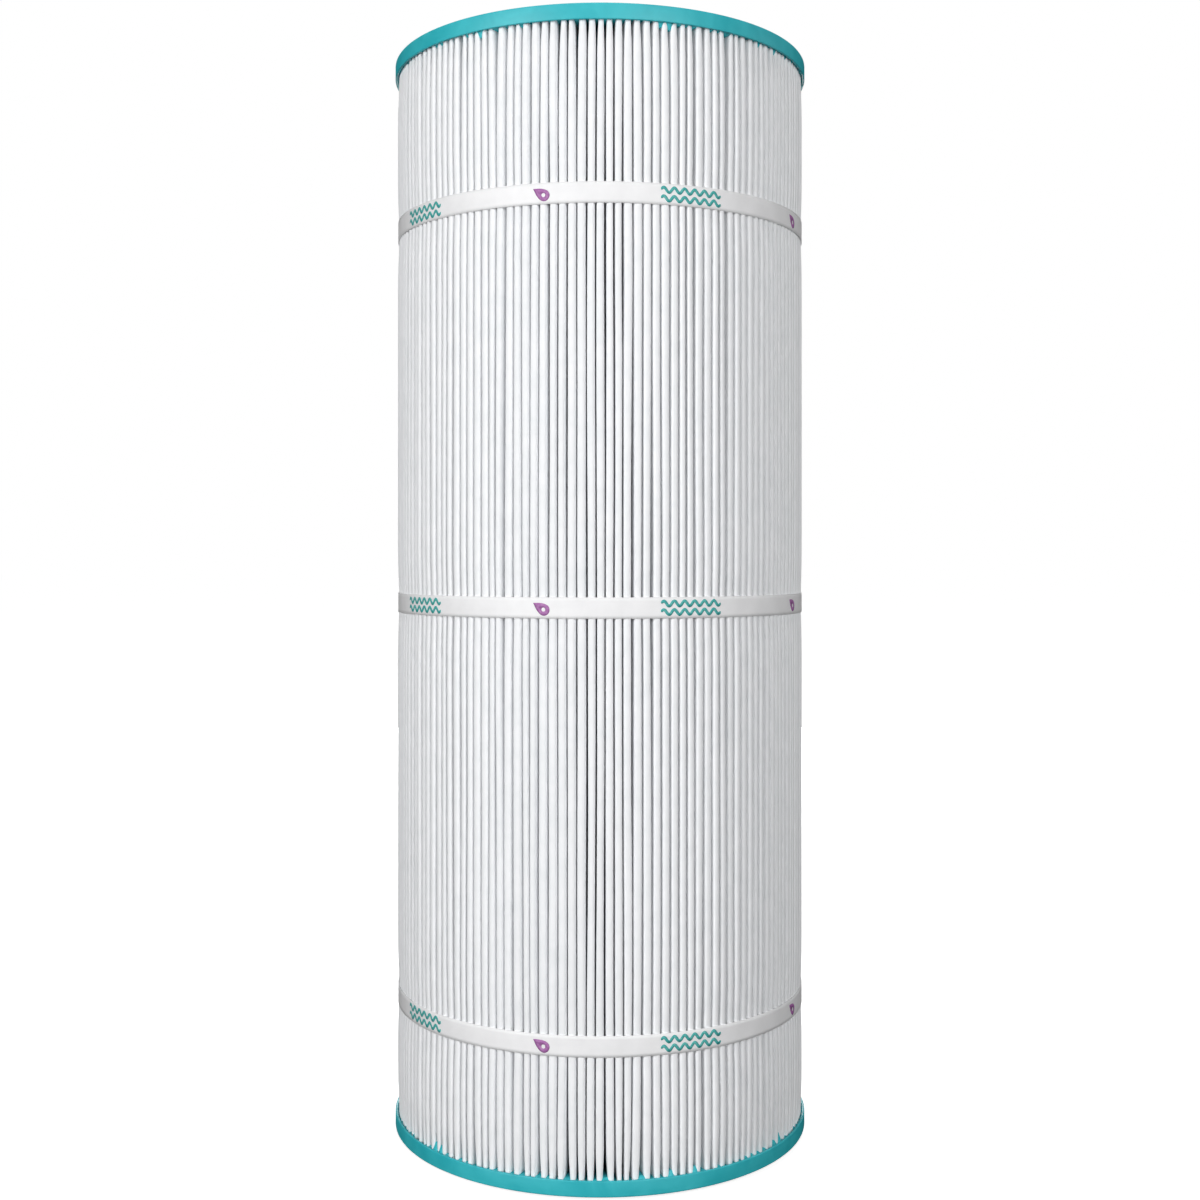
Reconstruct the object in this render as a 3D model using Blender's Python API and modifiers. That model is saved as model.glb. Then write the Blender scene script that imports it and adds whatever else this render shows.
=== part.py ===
"""A pleated filter cartridge for a pool or spa filter, as its separate pieces. Metres, +Z up.

One long sheet of spunbonded polyester is folded into pleats round a slotted plastic core. The ends
of both stand in a polyurethane cap at the bottom and another at the top, and three straps round
the pleats keep them evenly spread. The axis is Z, and the origin is where it meets the plane that
the bottom cap's sealing bead stands on. The sheet's seam and the straps' laps are at the back, +Y.
"""

import math

import bmesh
import bpy
from mathutils import Matrix

# Overall sizes
RIM_DIAMETER = 0.227
RIM_TO_RIM = 0.582
OPENING_DIAMETER = 0.1016

# Between the surfaces of two pieces that touch
GAP = 0.0003

# End caps: a plate, with a rim outside and a collar inside that face the other cap
CAP_SIDES = 48
PLATE = 0.0035
RIM_WALL = 0.0020
RIM_HEIGHT = 0.008
RIM_CHAMFER = 0.0006
COLLAR_WALL = 0.0014
COLLAR_HEIGHT = 0.010
BEAD_INSET = 0.003
BEAD_WIDTH = 0.007
BEAD_HEIGHT = 0.0025
BEAD_SLOPE = 0.0012

# Core: equal sections that stack, each with a spigot on top for the next one's socket
CORE_SECTIONS = 4
CORE_SIDES = 16
CORE_WALL = 0.0035
SPIGOT_HEIGHT = 0.005
SLOT_ROWS = 3
SLOT_WIDTH = 0.0150
SLOT_BAR = 0.0055

# Pleated media
PLEATS = 150
MEDIA = 0.0006
FOLD_WIDTH = 0.0030
FOLD_DEPTH = 0.0010

# Glue between the two ends of the sheet, in the place of one pleat
SEAM_GLUE = 0.0006
SEAM_DEPTH = 0.018

# Straps round the pleats. A strap's end is raised over its start, with glue between them.
STRAP_SIDES = 48
STRAP_WIDTH = 0.0105
STRAP = 0.0004
STRAP_GLUE = 0.0002
LAP_SIDES = 4

# From the middle of each strap to the bottom end, to half height, and to the top end
LOWER_STRAP_UP = 0.0755
MIDDLE_STRAP_DOWN = 0.0040
UPPER_STRAP_DOWN = 0.0945

# A round piece has flat sides, and their middles are nearer the axis than their corners
CAP_FLATS = math.cos(math.pi / CAP_SIDES)
CORE_FLATS = math.cos(math.pi / CORE_SIDES)
STRAP_FLATS = math.cos(math.pi / STRAP_SIDES)

# Radii
RIM_OUTSIDE = RIM_DIAMETER / 2
RIM_INSIDE = RIM_OUTSIDE - RIM_WALL
OPENING = OPENING_DIAMETER / 2
COLLAR_OUTSIDE = OPENING + COLLAR_WALL
CORE_INSIDE = (COLLAR_OUTSIDE + GAP) / CORE_FLATS
CORE_OUTSIDE = CORE_INSIDE + CORE_WALL
PLEATS_INSIDE = CORE_OUTSIDE + GAP
PLEATS_OUTSIDE = RIM_INSIDE * CAP_FLATS - GAP

# Heights. The media and the core stand between the two seats.
SEAT_BOTTOM = BEAD_HEIGHT + PLATE + GAP
SEAT_TOP = BEAD_HEIGHT + RIM_TO_RIM - PLATE - GAP
OVERALL_HEIGHT = RIM_TO_RIM + 2 * BEAD_HEIGHT

BACK = math.pi / 2


def clear_scene():
    for thing in list(bpy.data.objects):
        bpy.data.objects.remove(thing)


def new_collection(name):
    collection = bpy.data.collections.new(name)
    bpy.context.scene.collection.children.link(collection)
    return collection


def new_material(name, colour, roughness):
    material = bpy.data.materials.new(name)
    material.use_nodes = True
    shader = material.node_tree.nodes["Principled BSDF"]
    shader.inputs["Base Color"].default_value = (*colour, 1)
    shader.inputs["Roughness"].default_value = roughness
    shader.inputs["Metallic"].default_value = 0.0
    return material


def new_mesh(name, shape):
    mesh = bpy.data.meshes.new(name)
    shape.to_mesh(mesh)
    shape.free()
    return mesh


def place(name, mesh, collection, material=None, height=0.0):
    thing = bpy.data.objects.new(name, mesh)
    thing.location.z = height
    if material:
        mesh.materials.clear()
        mesh.materials.append(material)
    collection.objects.link(thing)
    return thing


def turned(name, profile, sides, collection, material, height=0.0):
    """The closed profile, of (radius, height) points down its outer side first, turned round Z."""
    shape = bmesh.new()
    points = [shape.verts.new((radius, 0, up)) for radius, up in profile]
    for pair in zip(points, points[1:] + points[:1]):
        shape.edges.new(pair)
    thing = place(name, new_mesh(name, shape), collection, material, height)
    screw = thing.modifiers.new("Turned", "SCREW")
    screw.axis = "Z"
    screw.angle = 2 * math.pi
    screw.steps = sides
    screw.render_steps = sides
    screw.use_merge_vertices = True
    screw.merge_threshold = 0.00001
    return thing


def ribbon(name, path, thickness, low, high, collection, material):
    """A wall of the thickness that stands from low to high along the path's (x, y) points."""
    shape = bmesh.new()
    points = [shape.verts.new((x, y, low)) for x, y in path]
    edges = [shape.edges.new(pair) for pair in zip(points, points[1:])]
    raised = bmesh.ops.extrude_edge_only(shape, edges=edges)["geom"]
    upper = [part for part in raised if isinstance(part, bmesh.types.BMVert)]
    bmesh.ops.translate(shape, verts=upper, vec=(0, 0, high - low))
    thing = place(name, new_mesh(name, shape), collection, material)
    wall = thing.modifiers.new("Wall", "SOLIDIFY")
    wall.thickness = thickness
    wall.offset = 0.0
    wall.use_even_offset = True
    return thing


def around(radius, angle, sideways=0.0):
    """The (x, y) point at the radius and angle, then moved sideways, along the tangent."""
    x = radius * math.cos(angle) - sideways * math.sin(angle)
    y = radius * math.sin(angle) + sideways * math.cos(angle)
    return x, y


def settle(thing):
    """Makes the modifiers' result the object's own mesh, shaded smooth up to its sharp edges."""
    graph = bpy.context.evaluated_depsgraph_get()
    mesh = bpy.data.meshes.new_from_object(thing.evaluated_get(graph))
    thing.modifiers.clear()
    thing.data = mesh
    mesh.shade_smooth()
    mesh.set_sharp_from_angle(angle=math.radians(30))


# ------------------------------------------------------------------------------- end caps


def cap_profile():
    """The bottom cap's section: down the rim, in along the plate and its bead, and up the collar."""
    face = BEAD_HEIGHT
    seat = face + PLATE
    bead_inside = OPENING + BEAD_INSET
    bead_outside = bead_inside + BEAD_WIDTH
    return [
        (RIM_OUTSIDE, face + RIM_HEIGHT),
        (RIM_OUTSIDE, face + RIM_CHAMFER),
        (RIM_OUTSIDE - RIM_CHAMFER, face),
        (bead_outside, face),
        (bead_outside - BEAD_SLOPE, 0),
        (bead_inside + BEAD_SLOPE, 0),
        (bead_inside, face),
        (OPENING, face),
        (OPENING, face + COLLAR_HEIGHT),
        (COLLAR_OUTSIDE, face + COLLAR_HEIGHT),
        (COLLAR_OUTSIDE, seat),
        (RIM_INSIDE, seat),
        (RIM_INSIDE, face + RIM_HEIGHT),
    ]


def make_end_caps(collection):
    """Two equal castings. The top one is turned over."""
    urethane = new_material("teal polyurethane", (0.035, 0.43, 0.52), 0.35)
    turned("bottom_end_cap", cap_profile(), CAP_SIDES, collection, urethane)
    top = turned("top_end_cap", cap_profile(), CAP_SIDES, collection, urethane, OVERALL_HEIGHT)
    top.rotation_euler.x = math.pi


# ----------------------------------------------------------------------------------- core


def section_profile(pitch):
    """A core section: its spigot's outside, the shoulder, the wall, and the socket inside it."""
    halfway = CORE_INSIDE + CORE_WALL / 2
    spigot = halfway - GAP / 2
    socket = halfway + GAP / 2
    spigot_top = pitch + SPIGOT_HEIGHT - GAP
    return [
        (spigot, spigot_top),
        (spigot, pitch - GAP),
        (CORE_OUTSIDE, pitch - GAP),
        (CORE_OUTSIDE, 0),
        (socket, 0),
        (socket, SPIGOT_HEIGHT),
        (CORE_INSIDE, SPIGOT_HEIGHT),
        (CORE_INSIDE, spigot_top),
    ]


def slot_boxes(pitch):
    """Boxes that cut the slots: rows of one slot in the middle of each side."""
    lowest = SPIGOT_HEIGHT + SLOT_BAR
    row_pitch = (pitch - GAP - lowest) / SLOT_ROWS
    size = Matrix.Diagonal((4 * CORE_WALL, SLOT_WIDTH, row_pitch - SLOT_BAR, 1))
    shape = bmesh.new()
    for row in range(SLOT_ROWS):
        middle = lowest + row * row_pitch + (row_pitch - SLOT_BAR) / 2
        out = Matrix.Translation((CORE_INSIDE, 0, middle))
        for side in range(CORE_SIDES):
            turn = Matrix.Rotation((side + 0.5) * 2 * math.pi / CORE_SIDES, 4, "Z")
            bmesh.ops.create_cube(shape, size=1.0, matrix=turn @ out @ size)
    return new_mesh("slots", shape)


def make_core(collection, cutters):
    """Sections stacked from the bottom seat to the top one."""
    plastic = new_material("white ABS", (0.78, 0.79, 0.78), 0.45)
    pitch = (SEAT_TOP - SEAT_BOTTOM + GAP - SPIGOT_HEIGHT) / CORE_SECTIONS
    for number in range(CORE_SECTIONS):
        name = f"core_section_{number + 1}"
        height = SEAT_BOTTOM + number * pitch
        section = turned(name, section_profile(pitch), CORE_SIDES, collection, plastic, height)
        cutter = place(f"slots_{number + 1}", slot_boxes(pitch), cutters, height=height)
        cutter.hide_render = True
        cutter.display_type = "WIRE"
        slots = section.modifiers.new("Slots", "BOOLEAN")
        slots.operation = "DIFFERENCE"
        slots.object = cutter


# --------------------------------------------------------------------------------- pleats


def pleat_path():
    """The middle of the sheet: in from the seam, out and in again for each pleat, out to the seam."""
    inside = PLEATS_INSIDE + MEDIA / 2
    outside = PLEATS_OUTSIDE - MEDIA / 2
    turn = 2 * math.pi / PLEATS
    foot = inside * turn / 4
    shoulder = (FOLD_WIDTH - MEDIA) / 2
    seam = SEAM_GLUE / 2 + GAP + MEDIA / 2
    path = [around(outside, BACK, seam), around(inside, BACK, foot)]
    for pleat in range(1, PLEATS):
        angle = BACK + pleat * turn
        path.append(around(inside, angle, -foot))
        path.append(around(outside - FOLD_DEPTH, angle, -shoulder))
        path.append(around(outside, angle))
        path.append(around(outside - FOLD_DEPTH, angle, shoulder))
        path.append(around(inside, angle, foot))
    path.append(around(inside, BACK, -foot))
    path.append(around(outside, BACK, -seam))
    return path


def make_media(collection):
    """The folded sheet, and the glue that joins its two ends."""
    polyester = new_material("white spunbonded polyester", (0.86, 0.87, 0.89), 0.85)
    glue = new_material("amber hot-melt glue", (0.72, 0.62, 0.42), 0.3)
    ribbon("pleated_media", pleat_path(), MEDIA, SEAT_BOTTOM, SEAT_TOP, collection, polyester)
    outside = PLEATS_OUTSIDE - MEDIA
    seam = [around(outside - SEAM_DEPTH, BACK), around(outside, BACK)]
    ribbon("media_seam", seam, SEAM_GLUE, SEAT_BOTTOM, SEAT_TOP, collection, glue)


# --------------------------------------------------------------------------------- straps


def strap_path(radius, first, last):
    """A stretch of a strap's many-sided ring, from one corner to another, at the radius."""
    start = BACK - LAP_SIDES / 2 * 2 * math.pi / STRAP_SIDES
    corners = range(first, last + 1)
    return [around(radius, start + corner * 2 * math.pi / STRAP_SIDES) for corner in corners]


def make_straps(collection):
    """Three straps, each with its glued lap at the back."""
    strap = new_material("white printed strap", (0.88, 0.88, 0.88), 0.5)
    glue = new_material("clear hot-melt glue", (0.80, 0.78, 0.70), 0.3)
    radius = (PLEATS_OUTSIDE + GAP + STRAP / 2) / STRAP_FLATS
    glue_radius = radius + (STRAP / 2 + GAP + STRAP_GLUE / 2) / STRAP_FLATS
    lap_radius = glue_radius + (glue_radius - radius)
    loop = strap_path(radius, 0, STRAP_SIDES - 1)
    lap = strap_path(lap_radius, STRAP_SIDES, STRAP_SIDES + LAP_SIDES)
    patch = strap_path(glue_radius, 1, LAP_SIDES - 1)
    heights = {
        "lower": LOWER_STRAP_UP,
        "middle": OVERALL_HEIGHT / 2 - MIDDLE_STRAP_DOWN,
        "upper": OVERALL_HEIGHT - UPPER_STRAP_DOWN,
    }
    for name, middle in heights.items():
        low = middle - STRAP_WIDTH / 2
        high = middle + STRAP_WIDTH / 2
        ribbon(f"{name}_strap", loop + lap, STRAP, low, high, collection, strap)
        ribbon(f"{name}_strap_glue", patch, STRAP_GLUE, low, high, collection, glue)


def main():
    clear_scene()
    collection = new_collection("filter_cartridge")
    cutters = new_collection("cutters")
    make_end_caps(collection)
    make_core(collection, cutters)
    make_media(collection)
    make_straps(collection)
    bpy.context.view_layer.update()
    for thing in collection.objects:
        settle(thing)


main()
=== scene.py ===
"""The looks of a pleated pool filter cartridge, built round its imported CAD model. Metres, +Z up."""

import math

import bmesh
import bpy
import numpy as np
from mathutils import Matrix, Vector


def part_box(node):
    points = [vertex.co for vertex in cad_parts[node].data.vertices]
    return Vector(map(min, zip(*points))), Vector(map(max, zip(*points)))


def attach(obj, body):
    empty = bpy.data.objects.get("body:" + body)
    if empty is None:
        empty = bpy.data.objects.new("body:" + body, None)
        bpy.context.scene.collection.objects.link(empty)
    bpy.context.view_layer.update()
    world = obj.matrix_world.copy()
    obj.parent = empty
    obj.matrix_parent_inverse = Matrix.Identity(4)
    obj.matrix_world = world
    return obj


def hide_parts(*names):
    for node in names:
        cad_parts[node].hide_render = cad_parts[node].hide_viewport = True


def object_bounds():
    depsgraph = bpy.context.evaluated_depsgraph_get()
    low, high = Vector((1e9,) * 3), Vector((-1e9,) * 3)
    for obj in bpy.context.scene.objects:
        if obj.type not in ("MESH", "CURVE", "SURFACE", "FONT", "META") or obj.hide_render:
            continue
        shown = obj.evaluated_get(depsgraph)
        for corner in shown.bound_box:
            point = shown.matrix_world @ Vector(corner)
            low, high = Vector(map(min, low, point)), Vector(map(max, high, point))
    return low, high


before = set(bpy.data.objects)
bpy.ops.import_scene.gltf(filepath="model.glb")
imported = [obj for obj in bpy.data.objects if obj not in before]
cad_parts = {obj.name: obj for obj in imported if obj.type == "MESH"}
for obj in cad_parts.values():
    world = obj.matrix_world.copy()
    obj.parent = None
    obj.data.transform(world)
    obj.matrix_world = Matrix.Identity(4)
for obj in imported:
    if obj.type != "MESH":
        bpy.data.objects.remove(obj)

cad_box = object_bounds()

# ------------------------------------------------------------------------------------ core
# The core is a slotted tube of white ABS that keeps the pleats from collapsing under the water's
# pressure. It is four equal mouldings, each with a spigot that snaps into the next one's socket.

MM = 0.001
SECTIONS = 4
CORE_INSIDE = 52.6 * MM
CORE_OUTSIDE = 56.4 * MM
SPIGOT = 5.0 * MM
SNAP_GAP = 0.3 * MM
SLOTS_ROUND = 16
SLOT_ROWS = 3
SLOT_WIDTH = 15.0 * MM
SLOT_BAR = 5.5 * MM
SLOT_CORNER = 2.5 * MM
SLOT_CUT_DEPTH = 20 * MM
MOULDED_EDGE = 0.4 * MM
TUBE_STEPS = 9 * SLOTS_ROUND


def linear(hexcode):
    """The linear colour of an sRGB hex value, with an alpha of 1."""
    parts = [int(hexcode[start : start + 2], 16) / 255 for start in (1, 3, 5)]
    return [c / 12.92 if c <= 0.04045 else ((c + 0.055) / 1.055) ** 2.4 for c in parts] + [1]


def add(tree, kind, inputs=None, **settings):
    """Adds a node with its settings. An input is a value, or the output that feeds it."""
    made = tree.nodes.new(kind)
    for name, value in settings.items():
        setattr(made, name, value)
    for name, value in (inputs or {}).items():
        if isinstance(value, bpy.types.NodeSocket):
            tree.links.new(value, made.inputs[name])
        else:
            made.inputs[name].default_value = value
    return made


def new_material(name):
    """A material, its node tree, and its Principled shader."""
    material = bpy.data.materials.new(name)
    material.use_nodes = True
    return material, material.node_tree, material.node_tree.nodes["Principled BSDF"]


def new_piece(name, mesh, material, slot, *nodes):
    """An object of the mesh that rides on the root body and stands for the CAD nodes."""
    piece = bpy.data.objects.new(name, mesh)
    bpy.context.scene.collection.objects.link(piece)
    mesh.materials.clear()
    mesh.materials.append(material)
    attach(piece, "root")
    if nodes:
        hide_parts(*nodes)
    return piece


def finished(shape, name, sharp=35):
    """The bmesh as a mesh, shaded smooth up to edges sharper than the angle in degrees."""
    mesh = bpy.data.meshes.new(name)
    shape.to_mesh(mesh)
    shape.free()
    mesh.shade_smooth()
    mesh.set_sharp_from_angle(angle=math.radians(sharp))
    return mesh


def applied(thing, sharp=35):
    """The object's mesh with its modifiers applied. The object is removed."""
    graph = bpy.context.evaluated_depsgraph_get()
    mesh = bpy.data.meshes.new_from_object(thing.evaluated_get(graph))
    bpy.data.objects.remove(thing)
    mesh.shade_smooth()
    mesh.set_sharp_from_angle(angle=math.radians(sharp))
    return mesh


def spun(profile, steps):
    """A closed profile of (radius, height) points, spun round Z."""
    shape = bmesh.new()
    points = [shape.verts.new((radius, 0, height)) for radius, height in profile]
    for pair in zip(points, points[1:] + points[:1]):
        shape.edges.new(pair)
    bmesh.ops.spin(
        shape,
        geom=shape.verts[:] + shape.edges[:],
        cent=(0, 0, 0),
        axis=(0, 0, 1),
        angle=2 * math.pi,
        steps=steps,
        use_merge=True,
    )
    bmesh.ops.recalc_face_normals(shape, faces=shape.faces)
    return shape


def core_section_mesh(pitch):
    """One moulding from height 0: a turned wall, with round-cornered slots cut through it."""
    halfway = (CORE_INSIDE + CORE_OUTSIDE) / 2
    spigot_top = pitch + SPIGOT - SNAP_GAP
    wall = [
        (halfway - SNAP_GAP / 2, spigot_top),
        (halfway - SNAP_GAP / 2, pitch - SNAP_GAP),
        (CORE_OUTSIDE, pitch - SNAP_GAP),
        (CORE_OUTSIDE, 0),
        (halfway + SNAP_GAP / 2, 0),
        (halfway + SNAP_GAP / 2, SPIGOT),
        (CORE_INSIDE, SPIGOT),
        (CORE_INSIDE, spigot_top),
    ]
    tube = bpy.data.objects.new("tube", finished(spun(wall, TUBE_STEPS), "tube"))
    lowest = SPIGOT + SLOT_BAR
    row_pitch = (pitch - SNAP_GAP - lowest) / SLOT_ROWS
    size = Matrix.Diagonal((SLOT_CUT_DEPTH, SLOT_WIDTH, row_pitch - SLOT_BAR, 1))
    boxes = bmesh.new()
    for row in range(SLOT_ROWS):
        middle = lowest + row * row_pitch + (row_pitch - SLOT_BAR) / 2
        out = Matrix.Translation((halfway, 0, middle))
        for slot in range(SLOTS_ROUND):
            turn = Matrix.Rotation((slot + 0.5) * 2 * math.pi / SLOTS_ROUND, 4, "Z")
            box = bmesh.ops.create_cube(boxes, size=1, matrix=turn @ out @ size)["verts"]
            axis = turn @ Vector((1, 0, 0))
            corners = {
                edge
                for vert in box
                for edge in vert.link_edges
                if abs((edge.verts[0].co - edge.verts[1].co).normalized().dot(axis)) > 0.9
            }
            bmesh.ops.bevel(
                boxes,
                geom=list(corners),
                offset=SLOT_CORNER,
                offset_type="OFFSET",
                affect="EDGES",
                segments=3,
                profile=0.5,
                material=-1,
            )
    cutter = bpy.data.objects.new("slots", finished(boxes, "slots"))
    for thing in (tube, cutter):
        bpy.context.scene.collection.objects.link(thing)
    cut = tube.modifiers.new("Slots", "BOOLEAN")
    cut.operation = "DIFFERENCE"
    cut.object = cutter
    edge = tube.modifiers.new("Moulded edge", "BEVEL")
    edge.width = MOULDED_EDGE
    edge.segments = 2
    edge.limit_method = "ANGLE"
    edge.angle_limit = math.radians(50)
    mesh = applied(tube, sharp=50)
    bpy.data.objects.remove(cutter)
    return mesh


def moulded_abs():
    """White ABS from a spark-eroded mould: matt, faintly grained, a little yellow in its depth."""
    material, tree, shader = new_material("moulded_abs_white")
    place = add(tree, "ShaderNodeTexCoord").outputs["Object"]
    flow = add(tree, "ShaderNodeTexNoise", {"Vector": place, "Scale": 60, "Detail": 3})
    tint = add(tree, "ShaderNodeValToRGB", {"Fac": flow.outputs["Fac"]})
    tint.color_ramp.elements[0].position = 0.35
    tint.color_ramp.elements[0].color = linear("#DFE0DB")
    tint.color_ramp.elements[1].position = 0.65
    tint.color_ramp.elements[1].color = linear("#EDEEEB")
    # The mould's grain is 0.1 mm. It is drawn at 0.5 mm, or it would not show.
    grain = add(tree, "ShaderNodeTexNoise", {"Vector": place, "Scale": 2000, "Detail": 2})
    bump = add(
        tree,
        "ShaderNodeBump",
        {"Height": grain.outputs["Fac"], "Strength": 0.25, "Distance": 0.1 * MM},
    )
    tree.links.new(tint.outputs["Color"], shader.inputs["Base Color"])
    tree.links.new(bump.outputs["Normal"], shader.inputs["Normal"])
    shader.inputs["Roughness"].default_value = 0.48
    shader.inputs["IOR"].default_value = 1.53
    return material


core_material = moulded_abs()
section_bottoms = [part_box(f"core_section_{n + 1}")[0][2] for n in range(SECTIONS)]
section_pitch = section_bottoms[1] - section_bottoms[0]
section_mesh = core_section_mesh(section_pitch)
for number, bottom in enumerate(section_bottoms, 1):
    mesh = section_mesh.copy()
    mesh.transform(Matrix.Translation((0, 0, bottom)))
    name = f"core_section_{number}"
    new_piece(f"{name}_moulding", mesh, core_material, "core_plastic", name)

# --------------------------------------------------------------------------- pleated media
# The media is one sheet of white spunbonded polyester, 0.6 mm thick and nearly 17 m long. A machine
# creases it into pleats, which stand on the core and spring out as far as their neighbours let
# them. They are held in place only at the caps and under the straps, so they lean and wander.

BACK = math.pi / 2
PLEATS = 150
MEDIA = 0.6 * MM
# Half a pleat's outline from just past its tip: millimetres deep, and millimetres from its middle.
TIP_SHAPE = ((0.06, 0.85), (0.28, 1.28), (0.9, 1.50), (3, 1.62), (9, 1.60), (24, 1.28), (42, 0.86))
PLEAT_INSIDE = 57.3 * MM
TIP_AT_STRAP = 111.2 * MM
TIP_BULGE = 0.6 * MM
BULGE_REACH = 16 * MM
# How unlike each other the tips stand out, where they are held and at most.
UNEVEN_TIPS = 0.13 * MM
UNEVEN_WHERE_HELD = 0.35
UNEVEN_LIMITS = (-0.4 * MM, 0.3 * MM)
# How far a pleat strays sideways: all along, in waves from end to end, and where it is cast in.
STRAY = 0.28 * MM
STRAY_WAVES = ((0.7, 0.38 * MM), (1.6, 0.18 * MM), (3.4, 0.06 * MM), (8.3, 0.02 * MM))
CAST_STRAY = 1.0 * MM
CAST_REACH = 38 * MM
# The seam is stiff with glue: it strays less, and its tip lies lower.
SEAM_STRAY = 0.3
SEAM_LOW = 0.3 * MM
# A pleat opens by as much as its neighbour leaves it, and is pinched where it leaves its cap.
OPEN_FROM = 0.95 * MM
OPEN_OVER = 1.3 * MM
OPEN_LIMITS = (0.45, 1.12)
PINCH = 0.28
PINCH_FROM = 7 * MM
PINCH_REACH = 4 * MM
MEDIA_ROWS = 84
ROWS_NEAR_ENDS = 0.4
MEDIA_PARTS = 6
PLEAT_SEED = 12

turn = 2 * math.pi / PLEATS
foot = PLEAT_INSIDE * turn / 4
pleat_depth = TIP_AT_STRAP - PLEAT_INSIDE
media_low, media_high = (corner[2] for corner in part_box("pleated_media"))
strap_heights = [
    sum(corner[2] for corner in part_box(f"{n}_strap")) / 2 for n in ("lower", "middle", "upper")
]


def half_pleat():
    """Half a pleat from its tip to its foot: how deep and how far from its middle each point is."""
    points = [(depth * MM, width * MM) for depth, width in TIP_SHAPE]
    for angle in np.radians((0, 45)):
        down = pleat_depth - foot + foot * math.sin(angle)
        points.append((down, 2 * foot - foot * math.cos(angle)))
    return points


def sheet_columns():
    """The folded sheet from end to end. Each column is its pleat, side, depth and width."""
    half = half_pleat()
    valley = (pleat_depth, 2 * foot)
    seam_half = [(depth, foot) for depth, width in half[1:-1]] + [half[-1]]
    columns = [(0, 1, *point) for point in seam_half] + [(0, 1, *valley)]
    for pleat in range(1, PLEATS):
        columns += [(pleat, -1, *point) for point in reversed(half)]
        columns += [(pleat, 0, 0, 0)]
        columns += [(pleat, 1, *point) for point in half]
        columns += [(pleat, 1, *valley)]
    columns += [(0, -1, *point) for point in reversed(seam_half)]
    return np.array(columns)


def wander(rows, random):
    """How far each pleat's tip has strayed sideways at each row, in metres."""
    up = (rows - media_low) / (media_high - media_low)
    stray = random.normal(0, STRAY, (PLEATS, 1)) + 0 * rows
    for waves, size in STRAY_WAVES:
        phase = random.uniform(0, 2 * math.pi, (PLEATS, 1))
        strength = random.normal(0, size, (PLEATS, 1))
        stray = stray + strength * np.sin(2 * math.pi * waves * up + phase)
    # Where the ends are cast in, the pleats set as they happened to stand.
    for end in (media_low, media_high):
        cast = random.uniform(-CAST_STRAY, CAST_STRAY, (PLEATS, 1))
        stray = stray + cast * np.exp(-np.abs(rows - end) / CAST_REACH)
    return stray


def tip_radii(rows, random):
    """Each pleat's tip radius at each row: drawn in at the caps and under the straps."""
    bulge = np.full_like(rows, TIP_BULGE)
    for held in (media_low, *strap_heights, media_high):
        bulge = bulge * (1 - np.exp(-(((rows - held) / BULGE_REACH) ** 2)))
    uneven = random.normal(0, UNEVEN_TIPS, (PLEATS, 1)) * (UNEVEN_WHERE_HELD + bulge / TIP_BULGE)
    return TIP_AT_STRAP + bulge + np.clip(uneven, *UNEVEN_LIMITS)


def flat_sheet(name, along, up):
    """A flat sheet with a vertex at each (along, up) in metres, which is its UV map too."""
    shape = bmesh.new()
    bmesh.ops.create_grid(shape, x_segments=len(along) - 1, y_segments=len(up) - 1, size=0.5)
    mesh = bpy.data.meshes.new(name)
    shape.to_mesh(mesh)
    shape.free()
    place = np.empty(len(mesh.vertices) * 3)
    mesh.vertices.foreach_get("co", place)
    place = place.reshape(-1, 3) + 0.5
    column = np.rint(place[:, 0] * (len(along) - 1)).astype(int)
    row = np.rint(place[:, 1] * (len(up) - 1)).astype(int)
    loops = np.empty(len(mesh.loops), int)
    mesh.loops.foreach_get("vertex_index", loops)
    flat = np.stack((np.asarray(along)[column], np.asarray(up)[row]), 1)
    mesh.uv_layers.new(name="flat")
    mesh.uv_layers["flat"].data.foreach_set("uv", flat[loops].ravel())
    return mesh, column, row


def move_to(mesh, places):
    """Moves the mesh's vertices to the places, one after another."""
    mesh.vertices.foreach_set("co", np.asarray(places, float).ravel())
    mesh.update()


media_random = np.random.default_rng(PLEAT_SEED)
rows_even = np.linspace(0, 1, MEDIA_ROWS + 1)
rows_eased = 0.5 - 0.5 * np.cos(math.pi * rows_even)
rows_share = (1 - ROWS_NEAR_ENDS) * rows_even + ROWS_NEAR_ENDS * rows_eased
media_rows = media_low + (media_high - media_low) * rows_share
columns = sheet_columns()
stray = wander(media_rows, media_random)
tips = tip_radii(media_rows, media_random)
# Pleat 0 is the seam.
stray[0] *= SEAM_STRAY
tips[0] = TIP_AT_STRAP - SEAM_LOW
tip_angles = BACK + np.arange(PLEATS)[:, None] * turn + stray / tips
tip_space = np.diff(np.vstack((tip_angles, tip_angles[:1] + 2 * math.pi)), axis=0) * tips


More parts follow.
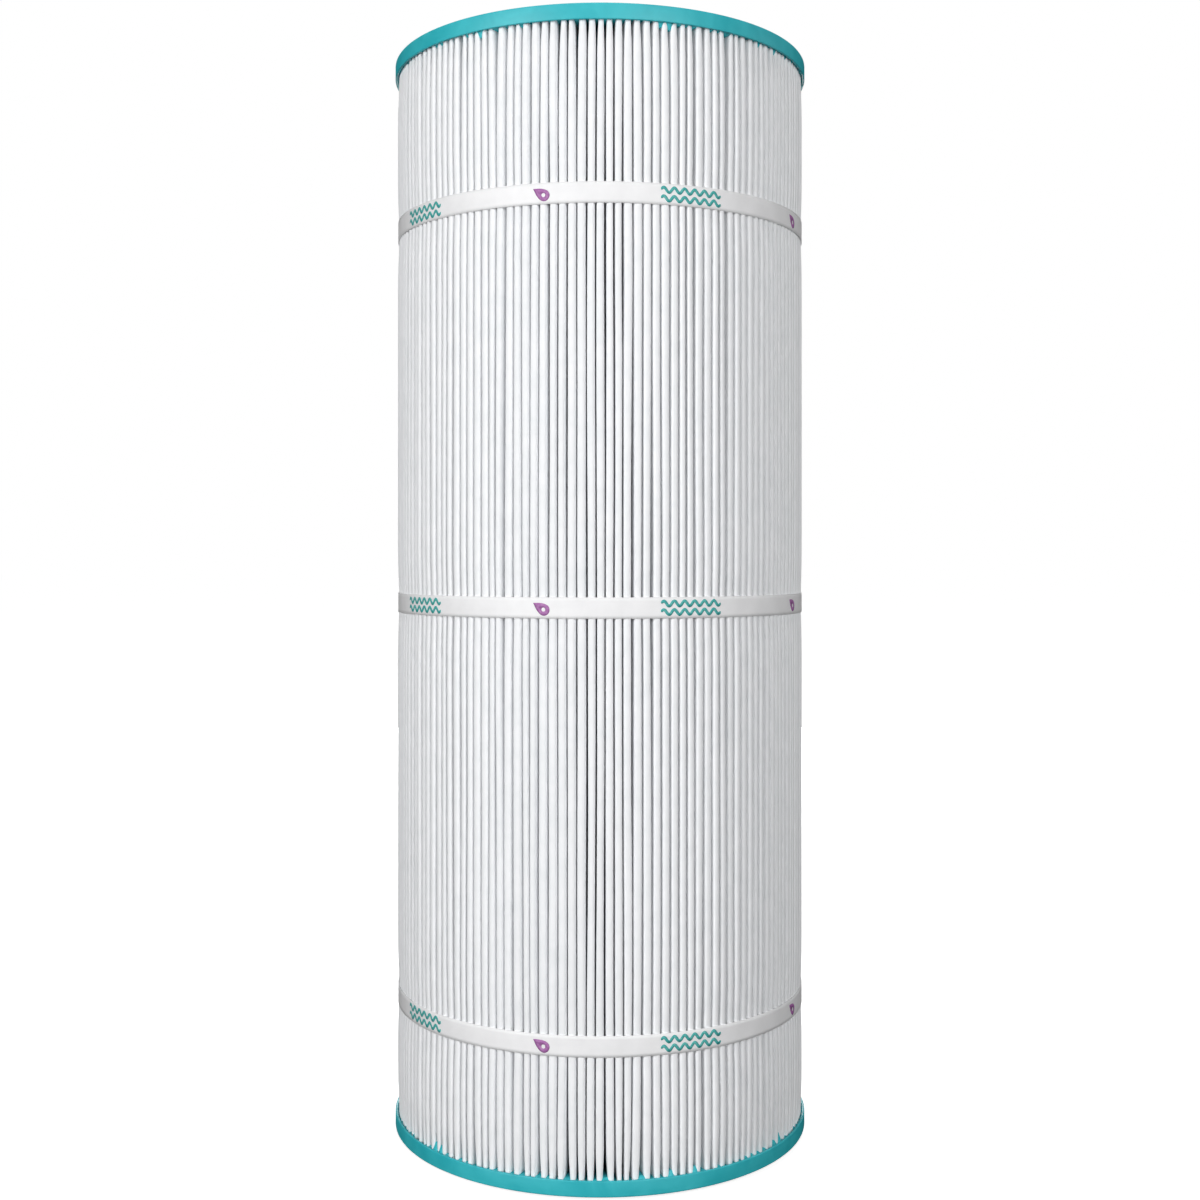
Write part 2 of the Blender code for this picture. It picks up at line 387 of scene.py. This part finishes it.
def folded():
    """Where each column of the sheet is at each row, as an array of rows, columns and X, Y, Z."""
    pleat = columns[:, 0].astype(int)
    side, depth, width = columns[:, 1:].T[:, :, None]
    room_after = tip_space[pleat]
    room_before = tip_space[pleat - 1]
    room = np.where(side > 0, room_after, room_before)
    spread = np.clip((room / 2 - OPEN_FROM) / OPEN_OVER, *OPEN_LIMITS)
    free = np.clip(1 - depth / pleat_depth, 0, 1)
    # Where a pleat comes out of its cap it is still pinched by the casting.
    from_end = np.minimum(media_rows - media_low, media_high - media_rows)
    past_cap = np.clip(from_end - PINCH_FROM, 0, None)
    spread = spread * (1 - PINCH * np.exp(-past_cap / PINCH_REACH))
    # None of this reaches the inner quarter of a pleat's depth, or the seam.
    spread = 1 + (spread - 1) * np.minimum(1, free * 4) * (pleat > 0)[:, None]
    radius = PLEAT_INSIDE + (pleat_depth - depth) * (tips[pleat] - PLEAT_INSIDE) / pleat_depth
    sideways = stray[pleat] * free + side * width * spread
    angle = BACK + pleat[:, None] * turn
    x = radius * np.cos(angle) - sideways * np.sin(angle)
    y = radius * np.sin(angle) + sideways * np.cos(angle)
    z = np.broadcast_to(media_rows, x.shape)
    return np.stack((x, y, z), 2).transpose(1, 0, 2)


def spunbonded_polyester():
    """Spunbonded polyester: a dull white felt of filaments laid at random and bonded by heat. It
    shows faint clouds, where more or fewer filaments lie, and streaks a few millimetres long."""
    material, tree, shader = new_material("spunbonded_polyester_white")
    flat = add(tree, "ShaderNodeUVMap", uv_map="flat").outputs["UV"]
    cloud = add(tree, "ShaderNodeTexNoise", {"Vector": flat, "Scale": 90, "Detail": 4})
    # The filaments are 0.02 mm thick. They are drawn as streaks of 0.4 mm by 4 mm.
    streaks = []
    for angle in (0.5, -0.6):
        lay = add(
            tree,
            "ShaderNodeMapping",
            {"Vector": flat, "Rotation": (0, 0, angle), "Scale": (2500, 250, 1)},
        )
        noise = {"Vector": lay.outputs["Vector"], "Scale": 1, "Detail": 2}
        streaks.append(add(tree, "ShaderNodeTexNoise", noise))
    felt = add(
        tree,
        "ShaderNodeMath",
        {0: streaks[0].outputs["Fac"], 1: streaks[1].outputs["Fac"]},
        operation="ADD",
    )
    mixed = add(
        tree,
        "ShaderNodeMath",
        {0: felt.outputs["Value"], 1: 0.35, 2: cloud.outputs["Fac"]},
        operation="MULTIPLY_ADD",
    )
    tint = add(tree, "ShaderNodeValToRGB", {"Fac": mixed.outputs["Value"]})
    tint.color_ramp.elements[0].position = 0.65
    tint.color_ramp.elements[0].color = linear("#F1F3F5")
    tint.color_ramp.elements[1].position = 1.0
    tint.color_ramp.elements[1].color = linear("#F8F9FB")
    bump = add(
        tree,
        "ShaderNodeBump",
        {"Height": felt.outputs["Value"], "Strength": 0.2, "Distance": 0.1 * MM},
    )
    tree.links.new(tint.outputs["Color"], shader.inputs["Base Color"])
    tree.links.new(bump.outputs["Normal"], shader.inputs["Normal"])
    shader.inputs["Roughness"].default_value = 0.9
    shader.inputs["Specular IOR Level"].default_value = 0.25
    shader.inputs["Sheen Weight"].default_value = 0.15
    return material


media_material = spunbonded_polyester()
media_places = folded()
steps_along = np.linalg.norm(np.diff(media_places[len(media_rows) // 2], axis=0), axis=1)
along_sheet = np.concatenate(([0], np.cumsum(steps_along)))
valleys = np.flatnonzero(np.isclose(columns[:, 2], pleat_depth))
# The sheet is laid out in a few parts, one valley to the next, so that none is too large a mesh.
cuts = [PLEATS * part // MEDIA_PARTS - 1 for part in range(1, MEDIA_PARTS)]
splits = [0, *valleys[cuts], len(columns) - 1]
for part, (first, last) in enumerate(zip(splits, splits[1:]), 1):
    mesh, column, row = flat_sheet("pleats", along_sheet[first : last + 1], media_rows)
    move_to(mesh, media_places[row, column + first])
    mesh.shade_smooth()
    name = f"pleated_media_{part}"
    piece = new_piece(name, mesh, media_material, "filter_media", "pleated_media")
    wall = piece.modifiers.new("Media", "SOLIDIFY")
    wall.thickness = MEDIA
    wall.offset = 0

# ------------------------------------------------------------------------------ seam glue
# The sheet's two ends stand together at the back like one more pleat. A bead of hot-melt glue,
# translucent and a little amber, fills the outer part of the gap between them.

SEAM_GLUE = 0.6 * MM
SEAM_DEPTH = 18 * MM
SEAM_ROWS = 240
SEAM_COLUMNS = 5
SWELL_MM = 0.16
SWELL_RATES = (160, 430, 1070)


def hot_melt(name, shade):
    """Hot-melt glue: a soft, cloudy, glossy plastic that set with a lumpy skin."""
    material, tree, shader = new_material(name)
    place = add(tree, "ShaderNodeTexCoord").outputs["Object"]
    lumps = add(tree, "ShaderNodeTexNoise", {"Vector": place, "Scale": 350, "Detail": 2})
    tint = add(tree, "ShaderNodeValToRGB", {"Fac": lumps.outputs["Fac"]})
    tint.color_ramp.elements[0].color = linear(shade)
    tint.color_ramp.elements[1].color = linear("#F2EBDD")
    bump = add(
        tree,
        "ShaderNodeBump",
        {"Height": lumps.outputs["Fac"], "Strength": 0.5, "Distance": 0.4 * MM},
    )
    tree.links.new(tint.outputs["Color"], shader.inputs["Base Color"])
    tree.links.new(bump.outputs["Normal"], shader.inputs["Normal"])
    shader.inputs["Roughness"].default_value = 0.22
    shader.inputs["IOR"].default_value = 1.48
    return material


glue_material = hot_melt("hot_melt_glue_amber", "#D9C49A")
seam_rows = np.linspace(media_low, media_high, SEAM_ROWS + 1)
mesh, column, row = flat_sheet("seam", np.linspace(0, 1, SEAM_COLUMNS + 1), seam_rows)
# The bead swells and thins along its edge, as the nozzle's speed changed.
swell = sum(np.sin(seam_rows * rate + rate) for rate in SWELL_RATES) * SWELL_MM * MM
seam_outside = TIP_AT_STRAP - MEDIA - SEAM_LOW + swell
deep = seam_outside[row] - column / SEAM_COLUMNS * SEAM_DEPTH
move_to(mesh, np.stack((0 * deep, deep, seam_rows[row]), 1))
mesh.shade_smooth()
bead = new_piece("media_seam_bead", mesh, glue_material, "hot_melt_glue", "media_seam")
wall = bead.modifiers.new("Glue", "SOLIDIFY")
wall.thickness = SEAM_GLUE
wall.offset = 0

# -------------------------------------------------------------------------------- end caps
# Each cap is teal polyurethane, cast in an open mould with the pleats' ends standing in it. The
# liquid set just below the mould's lip. It crept up the sheet a little, and high up a few gaps.

CAP_COLUMNS = 8
BEAD_HEIGHT = 2.5 * MM
LIP_HEIGHT = 8.0 * MM
LIP_INSIDE = 112.1 * MM
FILL_HEIGHT = 6.6 * MM
COLLAR_HEIGHT = 10 * MM
COLLAR_WALL = 1.4 * MM
OPENING = 50.8 * MM
BEAD_INSET = 3 * MM
BEAD_WIDTH = 7 * MM
BEAD_SLOPE = 1.2 * MM
# How high the liquid crept: up the tips, between most of them, and now and then far up a gap.
CREEP = 0.7 * MM
CREEP_RANGE = (0.4, 1.3)
GAP_CREEP_MM = 0.8
GAP_CREEP_SPREAD_MM = 0.9
GAP_CREEP_MOST_MM = 2.4
HIGH_CREEP = 4 * MM
HIGH_CREEP_RANGE = (0.4, 1)
HIGH_CREEP_SHARE = 0.07
# It sets in past this radius, over this distance, and is less where the fill meets the lip.
CREEP_FROM = 85 * MM
CREEP_OVER = 20 * MM
CREEP_AT_LIP = 0.35
# The rings of the fill's surface, close together among the tips.
FILL_INNER_RING = 60 * MM
FILL_TIPS_RING = 104 * MM
FILL_LIP_RING = LIP_INSIDE - 0.3 * MM
FILL_RINGS_AT_TIPS = 9
# Where the flat face is divided, measured outwards from the sealing bead.
FACE_RING = 22 * MM
CAP_SEED = 5
MERGE = 0.01 * MM
cad_high = Vector(cad_box[1])
rim = cad_high.x


def rounded(corners, segments=4):
    """The (radius, height) points of an outline whose corners are rounded, each by its own size."""
    points = []
    for number, (*corner, size) in enumerate(corners):
        here = Vector(corner)
        if size == 0 or number in (0, len(corners) - 1):
            points.append(here)
            continue
        before = here + (Vector(corners[number - 1][:2]) - here).normalized() * size
        after = here + (Vector(corners[number + 1][:2]) - here).normalized() * size
        for step in range(segments + 1):
            share = step / segments
            start, middle, end = (1 - share) ** 2, 2 * share * (1 - share), share**2
            points.append(start * before + middle * here + end * after)
    return points


def cap_outline():
    """The bottom cap's outline from inside its lip, round its outer side, to inside its collar."""
    face = BEAD_HEIGHT
    collar = OPENING + COLLAR_WALL
    bead_in = OPENING + BEAD_INSET
    bead_out = bead_in + BEAD_WIDTH
    return rounded(
        [
            (LIP_INSIDE, face + FILL_HEIGHT + CREEP, 0),
            (LIP_INSIDE, face + LIP_HEIGHT, 0.35 * MM),
            (rim, face + LIP_HEIGHT, 0.5 * MM),
            (rim, face, 0.9 * MM),
            (bead_out + FACE_RING, face, 0),
            (bead_out, face, 0.4 * MM),
            (bead_out - BEAD_SLOPE, 0, 0.5 * MM),
            (bead_in + BEAD_SLOPE, 0, 0.5 * MM),
            (bead_in, face, 0.4 * MM),
            (OPENING, face, 0.6 * MM),
            (OPENING, face + COLLAR_HEIGHT, 0.5 * MM),
            (collar, face + COLLAR_HEIGHT, 0.5 * MM),
            (collar, face + FILL_HEIGHT, 0),
        ]
    )


def make_cap(name, top, random):
    """A cap's mesh. Its columns follow the pleats' tips, so that the fill can creep up them."""
    row = -1 if top else 0
    pleat = np.repeat(np.arange(PLEATS), CAP_COLUMNS)
    share = np.tile(np.arange(CAP_COLUMNS) / CAP_COLUMNS, PLEATS)
    angle_at = tip_angles[:, row]
    angle_after = np.append(angle_at[1:], angle_at[0] + 2 * math.pi)
    angle = angle_at[pleat] * (1 - share) + angle_after[pleat] * share
    outline = cap_outline()
    collar = OPENING + COLLAR_WALL
    at_tips = np.linspace(FILL_TIPS_RING, FILL_LIP_RING, FILL_RINGS_AT_TIPS)
    fill = np.concatenate(([FILL_INNER_RING, CREEP_FROM], at_tips))
    radius = np.array([point[0] for point in outline] + list(fill) + [LIP_INSIDE])
    fill_heights = [BEAD_HEIGHT + FILL_HEIGHT] * len(fill)
    height = np.array([point[1] for point in outline] + fill_heights + [outline[0][1]])
    at_tip = np.abs(np.cos(math.pi * share)) ** 3
    creep = CREEP * at_tip * random.uniform(*CREEP_RANGE, PLEATS)[pleat]
    is_high = random.random(PLEATS) < HIGH_CREEP_SHARE
    high = np.where(is_high, random.uniform(*HIGH_CREEP_RANGE, PLEATS), 0)
    between = random.normal(GAP_CREEP_MM, GAP_CREEP_SPREAD_MM, PLEATS)
    between = np.clip(between, 0, GAP_CREEP_MOST_MM) * MM
    creep = creep + (HIGH_CREEP * high + between)[pleat] * np.sin(math.pi * share) ** 0.8
    near = np.zeros(len(radius))
    near[len(outline) : -1] = np.clip((fill - CREEP_FROM) / CREEP_OVER, 0, 1)
    near[len(outline) + len(fill) - 1] = CREEP_AT_LIP
    around = np.append(angle, angle[0] + 2 * math.pi)
    mesh, column, row = flat_sheet(name, around, np.arange(len(radius)) * MM)
    turned = np.append(angle, angle[0])[column]
    up = height[row] + np.append(creep, creep[0])[column] * near[row]
    places = np.stack((radius[row] * np.cos(turned), radius[row] * np.sin(turned), up), 1)
    if top:
        places[:, 2] = cad_high.z - places[:, 2]
    move_to(mesh, places)
    shape = bmesh.new()
    shape.from_mesh(mesh)
    bmesh.ops.remove_doubles(shape, verts=shape.verts, dist=MERGE)
    bmesh.ops.recalc_face_normals(shape, faces=shape.faces)
    bpy.data.meshes.remove(mesh)
    return finished(shape, name, sharp=60)


def cast_polyurethane():
    """Cast polyurethane: tough, dyed through, with the satin skin of its mould, a few pinholes
    where air came up, and slow swirls in the dye."""
    material, tree, shader = new_material("cast_polyurethane_teal")
    place = add(tree, "ShaderNodeTexCoord").outputs["Object"]
    swirl = add(
        tree, "ShaderNodeTexNoise", {"Vector": place, "Scale": 45, "Detail": 4, "Distortion": 1.5}
    )
    tint = add(tree, "ShaderNodeValToRGB", {"Fac": swirl.outputs["Fac"]})
    tint.color_ramp.elements[0].position = 0.3
    tint.color_ramp.elements[0].color = linear("#2AB2BD")
    tint.color_ramp.elements[1].position = 0.7
    tint.color_ramp.elements[1].color = linear("#3ABFC9")
    skin = add(tree, "ShaderNodeTexNoise", {"Vector": place, "Scale": 400, "Detail": 2})
    # One pinhole to about 4 mm, each up to 0.7 mm across.
    cells = add(tree, "ShaderNodeTexVoronoi", {"Vector": place, "Scale": 260})
    hole = add(
        tree,
        "ShaderNodeMapRange",
        {"Value": cells.outputs["Distance"], "From Min": 0.0, "From Max": 0.09},
    )
    surface = add(
        tree,
        "ShaderNodeMath",
        {0: skin.outputs["Fac"], 1: 0.5, 2: hole.outputs["Result"]},
        operation="MULTIPLY_ADD",
    )
    bump = add(
        tree,
        "ShaderNodeBump",
        {"Height": surface.outputs["Value"], "Strength": 0.2, "Distance": 0.15 * MM},
    )
    gloss = add(
        tree,
        "ShaderNodeMapRange",
        {"Value": swirl.outputs["Fac"], "To Min": 0.42, "To Max": 0.55},
    )
    tree.links.new(tint.outputs["Color"], shader.inputs["Base Color"])
    tree.links.new(bump.outputs["Normal"], shader.inputs["Normal"])
    tree.links.new(gloss.outputs["Result"], shader.inputs["Roughness"])
    shader.inputs["IOR"].default_value = 1.5
    return material


cap_material = cast_polyurethane()
cap_random = np.random.default_rng(CAP_SEED)
for name, top in (("bottom_end_cap", False), ("top_end_cap", True)):
    mesh = make_cap(name, top, cap_random)
    new_piece(f"{name}_casting", mesh, cap_material, "end_cap_polyurethane", name)

# ---------------------------------------------------------------------------------- straps
# Three straps of smooth white polyester tape go round the pleats. Each is pulled tight, and its
# end is glued down over its start at the back. Waves and drops are printed along it in turn.

STRAP = 0.4 * MM
STRAP_GLUE = 0.25 * MM
STRAP_INSIDE = TIP_AT_STRAP + MEDIA / 2 + 0.1 * MM
LAP = math.radians(28)
LAP_RAMP = math.radians(4)
LAP_GLUED = (0.15, 0.85)
STRAP_STEPS = 400
STRAP_ROWS = 6
LAP_GLUE_STEPS = 24
LAP_GLUE_ROWS = 8
# The share of the strap's width that the glue covers, and how unevenly it squeezed out.
LAP_GLUE_SHARE = 0.86
LAP_GLUE_RIPPLES = ((0.06, 700, 0), (0.05, 1900, 1))


def strap_radius(angle):
    """The middle of the strap's thickness, by the angle run from its start: raised at the lap."""
    rise = np.clip((angle - (2 * math.pi - LAP_RAMP)) / LAP_RAMP, 0, 1)
    return STRAP_INSIDE + STRAP / 2 + (STRAP + STRAP_GLUE) * rise * rise * (3 - 2 * rise)


def wrap(mesh, along, up, middle, lift=0.0):
    """Winds a flat mesh, of X along and Y up in metres, round the pleats at the middle height."""
    angle = along / STRAP_INSIDE
    radius = strap_radius(angle) + lift
    turned = BACK - LAP / 2 + angle
    move_to(mesh, np.stack((radius * np.cos(turned), radius * np.sin(turned), middle + up), 1))


def polyester_tape():
    """Polyester tape: a close plain weave of fine yarn, pressed flat, so it is smooth and faintly
    glossy, and paler when seen along its surface."""
    material, tree, shader = new_material("polyester_tape_white")
    flat = add(tree, "ShaderNodeUVMap", uv_map="flat").outputs["UV"]
    # The yarns are 0.3 mm apart. They are drawn 0.6 mm apart, or they would not show.
    yarns = {"Vector": flat, "Scale": 530}
    warp = add(tree, "ShaderNodeTexWave", yarns, wave_type="BANDS", bands_direction="X")
    weft = add(tree, "ShaderNodeTexWave", yarns, wave_type="BANDS", bands_direction="Y")
    weave = add(
        tree,
        "ShaderNodeMath",
        {0: warp.outputs["Fac"], 1: weft.outputs["Fac"]},
        operation="MULTIPLY",
    )
    cloud = add(tree, "ShaderNodeTexNoise", {"Vector": flat, "Scale": 120, "Detail": 3})
    tint = add(tree, "ShaderNodeValToRGB", {"Fac": cloud.outputs["Fac"]})
    tint.color_ramp.elements[0].position = 0.3
    tint.color_ramp.elements[0].color = linear("#EFEFF0")
    tint.color_ramp.elements[1].position = 0.7
    tint.color_ramp.elements[1].color = linear("#F5F5F6")
    bump = add(
        tree,
        "ShaderNodeBump",
        {"Height": weave.outputs["Value"], "Strength": 0.15, "Distance": 0.05 * MM},
    )
    tree.links.new(tint.outputs["Color"], shader.inputs["Base Color"])
    tree.links.new(bump.outputs["Normal"], shader.inputs["Normal"])
    shader.inputs["Roughness"].default_value = 0.55
    shader.inputs["Sheen Weight"].default_value = 0.6
    shader.inputs["Sheen Roughness"].default_value = 0.4
    return material


def screen_ink(name, shade, worn):
    """Screen-printed ink: an opaque, even film that lies a little thinner here and there."""
    material, tree, shader = new_material(name)
    place = add(tree, "ShaderNodeTexCoord").outputs["Object"]
    film = add(tree, "ShaderNodeTexNoise", {"Vector": place, "Scale": 900, "Detail": 3})
    tint = add(tree, "ShaderNodeValToRGB", {"Fac": film.outputs["Fac"]})
    tint.color_ramp.elements[0].position = 0.35
    tint.color_ramp.elements[0].color = linear(worn)
    tint.color_ramp.elements[1].position = 0.55
    tint.color_ramp.elements[1].color = linear(shade)
    gloss = add(
        tree,
        "ShaderNodeMapRange",
        {"Value": film.outputs["Fac"], "To Min": 0.6, "To Max": 0.4},
    )
    tree.links.new(tint.outputs["Color"], shader.inputs["Base Color"])
    tree.links.new(gloss.outputs["Result"], shader.inputs["Roughness"])
    return material


# Where the waves and the drops are, in degrees round from the front towards +X. None is in the lap.
WAVES_AT = (-135, -55, 24, 105)
DROPS_AT = (-95, -15, 65, 145)
WAVES_LONG = 33 * MM
WAVE_LENGTH = 5.5 * MM
WAVE_HEIGHT = 1.25 * MM
WAVE_STROKE = 1.5 * MM
WAVE_ROWS = (-2.1 * MM, 2.1 * MM)
WAVE_STEPS = 96
WAVE_END_ROUNDING = 60
DROP_LONG = 9.4 * MM
DROP_WIDE = 6.2 * MM
DROP_HOLE = 1.0 * MM
DROP_HOLE_PAST_MIDDLE = 0.16 * DROP_LONG
DROP_TURN = math.radians(-32)
# A drop's taper to its point, and what then keeps it as wide as it should be.
DROP_TAPER = 1.2
DROP_FULLNESS = 1.25
DROP_STEPS = 48
INK = 0.04 * MM


def wave_stroke(at, up):
    """One wavy stroke, as a flat mesh and its points' distances along the strap and up it."""
    run = np.linspace(-WAVES_LONG / 2, WAVES_LONG / 2, WAVE_STEPS + 1)
    mesh, column, row = flat_sheet("stroke", run, (-0.5, 0.5))
    phase = 2 * math.pi * run / WAVE_LENGTH
    slope = 2 * math.pi * WAVE_HEIGHT / WAVE_LENGTH * np.cos(phase)
    length = np.sqrt(1 + slope * slope)
    from_middle = np.abs(run) / (WAVES_LONG / 2)
    ends = np.sqrt(np.clip(1 - from_middle**WAVE_END_ROUNDING, 0.02, 1))
    side = (row - 0.5) * WAVE_STROKE * ends[column]
    along = at + run[column] - side * (slope / length)[column]
    return mesh, along, up + WAVE_HEIGHT * np.sin(phase)[column] + side / length[column]


def drop_ring(at):
    """A lying drop with a round hole, as a flat mesh and its points' places on the strap."""
    round_it = np.linspace(0, 2 * math.pi, DROP_STEPS + 1)
    mesh, column, row = flat_sheet("drop", round_it, (0, 1))
    angle = round_it[column]
    taper = np.sin(angle / 2) ** DROP_TAPER
    outer_x = -DROP_LONG / 2 * np.cos(angle)
    outer_y = DROP_WIDE / 2 * np.sin(angle) * taper * DROP_FULLNESS
    x = np.where(row == 1, outer_x, DROP_HOLE_PAST_MIDDLE - DROP_HOLE * np.cos(angle))
    y = np.where(row == 1, outer_y, DROP_HOLE * np.sin(angle))
    along = at + x * math.cos(DROP_TURN) - y * math.sin(DROP_TURN)
    return mesh, along, x * math.sin(DROP_TURN) + y * math.cos(DROP_TURN)


def print_marks(name, marks, material, middle):
    """The marks on a strap as one piece, with the ink's thickness."""
    shape = bmesh.new()
    for mesh, along, up in marks:
        wrap(mesh, along, up, middle, lift=STRAP / 2 + INK)
        shape.from_mesh(mesh)
        bpy.data.meshes.remove(mesh)
    bmesh.ops.remove_doubles(shape, verts=shape.verts, dist=MERGE)
    printed = new_piece(name, finished(shape, name), material, "strap_fabric")
    film = printed.modifiers.new("Ink", "SOLIDIFY")
    film.thickness = INK
    film.offset = 0


def strap_place(degrees):
    """The distance from the strap's start to a place that many degrees round from the front."""
    return (math.radians(180 + degrees) + LAP / 2) * STRAP_INSIDE


strap_material = polyester_tape()
strap_glue_material = hot_melt("hot_melt_glue_clear", "#E6DDC8")
teal_ink = screen_ink("screen_ink_teal", "#3FA9A6", "#5DB8B3")
purple_ink = screen_ink("screen_ink_purple", "#A565A6", "#B57FB5")
for name in ("lower", "middle", "upper"):
    low, high = (corner[2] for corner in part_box(f"{name}_strap"))
    width = high - low
    middle = (low + high) / 2
    run = np.linspace(0, (2 * math.pi + LAP) * STRAP_INSIDE, STRAP_STEPS + 1)
    mesh, column, row = flat_sheet(name, run, np.linspace(-0.5, 0.5, STRAP_ROWS + 1) * width)
    wrap(mesh, run[column], (row / STRAP_ROWS - 0.5) * width, middle)
    mesh.shade_smooth()
    strap = new_piece(f"{name}_strap_tape", mesh, strap_material, "strap_fabric", f"{name}_strap")
    wall = strap.modifiers.new("Tape", "SOLIDIFY")
    wall.thickness = STRAP
    wall.offset = 0

    glue_from, glue_to = LAP_GLUED
    run = np.linspace(glue_from * LAP, glue_to * LAP, LAP_GLUE_STEPS + 1) * STRAP_INSIDE
    mesh, column, row = flat_sheet(name, run, np.linspace(-0.5, 0.5, LAP_GLUE_ROWS + 1) * width)
    ripples = (size * np.sin(run * rate + start) for size, rate, start in LAP_GLUE_RIPPLES)
    spread = sum(ripples, LAP_GLUE_SHARE)
    up = (row / LAP_GLUE_ROWS - 0.5) * width * spread[column]
    wrap(mesh, run[column], up, middle, lift=(STRAP + STRAP_GLUE) / 2)
    mesh.shade_smooth()
    glue = f"{name}_strap_glue"
    patch = new_piece(f"{name}_lap_glue", mesh, strap_glue_material, "hot_melt_glue", glue)
    wall = patch.modifiers.new("Glue", "SOLIDIFY")
    wall.thickness = STRAP_GLUE
    wall.offset = 0

    waves = [wave_stroke(strap_place(at), up) for at in WAVES_AT for up in WAVE_ROWS]
    print_marks(f"{name}_strap_waves", waves, teal_ink, middle)
    drops = [drop_ring(strap_place(at)) for at in DROPS_AT]
    print_marks(f"{name}_strap_drops", drops, purple_ink, middle)

# ---------------------------------------------------------------------------------- studio
# A white table in a white room. Neither throws light back on the cartridge, which is lit by five
# soft boxes alone: strong ones at the front left and the back, a weaker one at the front right,
# and faint ones at the right side and overhead.

CAMERA_DISTANCE = 0.8644
CAMERA_HEIGHT = 0.3156
CAMERA_LENS = 46.3
CAMERA_SHIFT = -0.0378
TABLE_REACH = 20
# Each soft box is aimed at this point. Its place is in metres and its power in watts.
LIT_POINT = (0, 0, 0.3)
SOFT_BOX_SIZE = (0.9, 1.3)
SOFT_BOXES = {
    "front_left": ((-1.24, -1.38, 0.62), 26),
    "front": ((0.80, -1.66, 0.62), 19.5),
    "right": ((1.92, 0.1, 0.62), 4),
    "behind": ((0, 1.85, 0.62), 28),
    "overhead": ((0, 0, 2.2), 12),
}

# Matt white laminate, lit from within so that it stays plain and even to its far edge.
table_material, tree, shader = new_material("matt_white_laminate")
place = add(tree, "ShaderNodeTexCoord").outputs["Object"]
mottle = add(tree, "ShaderNodeTexNoise", {"Vector": place, "Scale": 4})
tint = add(tree, "ShaderNodeValToRGB", {"Fac": mottle.outputs["Fac"]})
tint.color_ramp.elements[0].color = linear("#E9E9E9")
tint.color_ramp.elements[1].color = linear("#ECECEC")
tree.links.new(tint.outputs["Color"], shader.inputs["Base Color"])
shader.inputs["Roughness"].default_value = 0.9
shader.inputs["Emission Color"].default_value = (1, 1, 1, 1)
away = add(tree, "ShaderNodeVectorMath", {"Vector": place}, operation="LENGTH").outputs["Value"]
near_and_far = {"Value": away, "From Min": 0.3, "From Max": 1.5, "To Min": 0.8}
glow = add(tree, "ShaderNodeMapRange", near_and_far)
tree.links.new(glow.outputs["Result"], shader.inputs["Emission Strength"])
shape = bmesh.new()
bmesh.ops.create_grid(shape, x_segments=1, y_segments=1, size=TABLE_REACH)
table = bpy.data.objects.new("table", finished(shape, "table"))
table.data.materials.append(table_material)
table.visible_diffuse = False
table.visible_glossy = False
bpy.context.scene.collection.objects.link(table)

world = bpy.data.worlds.new("studio")
world.use_nodes = True
world.node_tree.nodes["Background"].inputs["Color"].default_value = (1, 1, 1, 1)
world.node_tree.nodes["Background"].inputs["Strength"].default_value = 1.0
world.cycles_visibility.diffuse = False
world.cycles_visibility.glossy = False
bpy.context.scene.world = world
bpy.context.scene.view_settings.view_transform = "Standard"

for name, (place, power) in SOFT_BOXES.items():
    light = bpy.data.lights.new(name, "AREA")
    light.shape = "RECTANGLE"
    light.size, light.size_y = SOFT_BOX_SIZE
    light.energy = power
    soft_box = bpy.data.objects.new(name, light)
    soft_box.location = place
    aim = Vector(LIT_POINT) - Vector(place)
    soft_box.rotation_euler = aim.to_track_quat("-Z", "Y").to_euler()
    soft_box.visible_camera = False
    bpy.context.scene.collection.objects.link(soft_box)

camera_data = bpy.data.cameras.new("camera")
camera_data.lens = CAMERA_LENS
camera_data.sensor_width = 36
camera_data.shift_y = CAMERA_SHIFT
camera = bpy.data.objects.new("camera", camera_data)
camera.location = (0, -CAMERA_DISTANCE, CAMERA_HEIGHT)
camera.rotation_euler = (math.pi / 2, 0, 0)
bpy.context.scene.collection.objects.link(camera)
bpy.context.scene.camera = camera
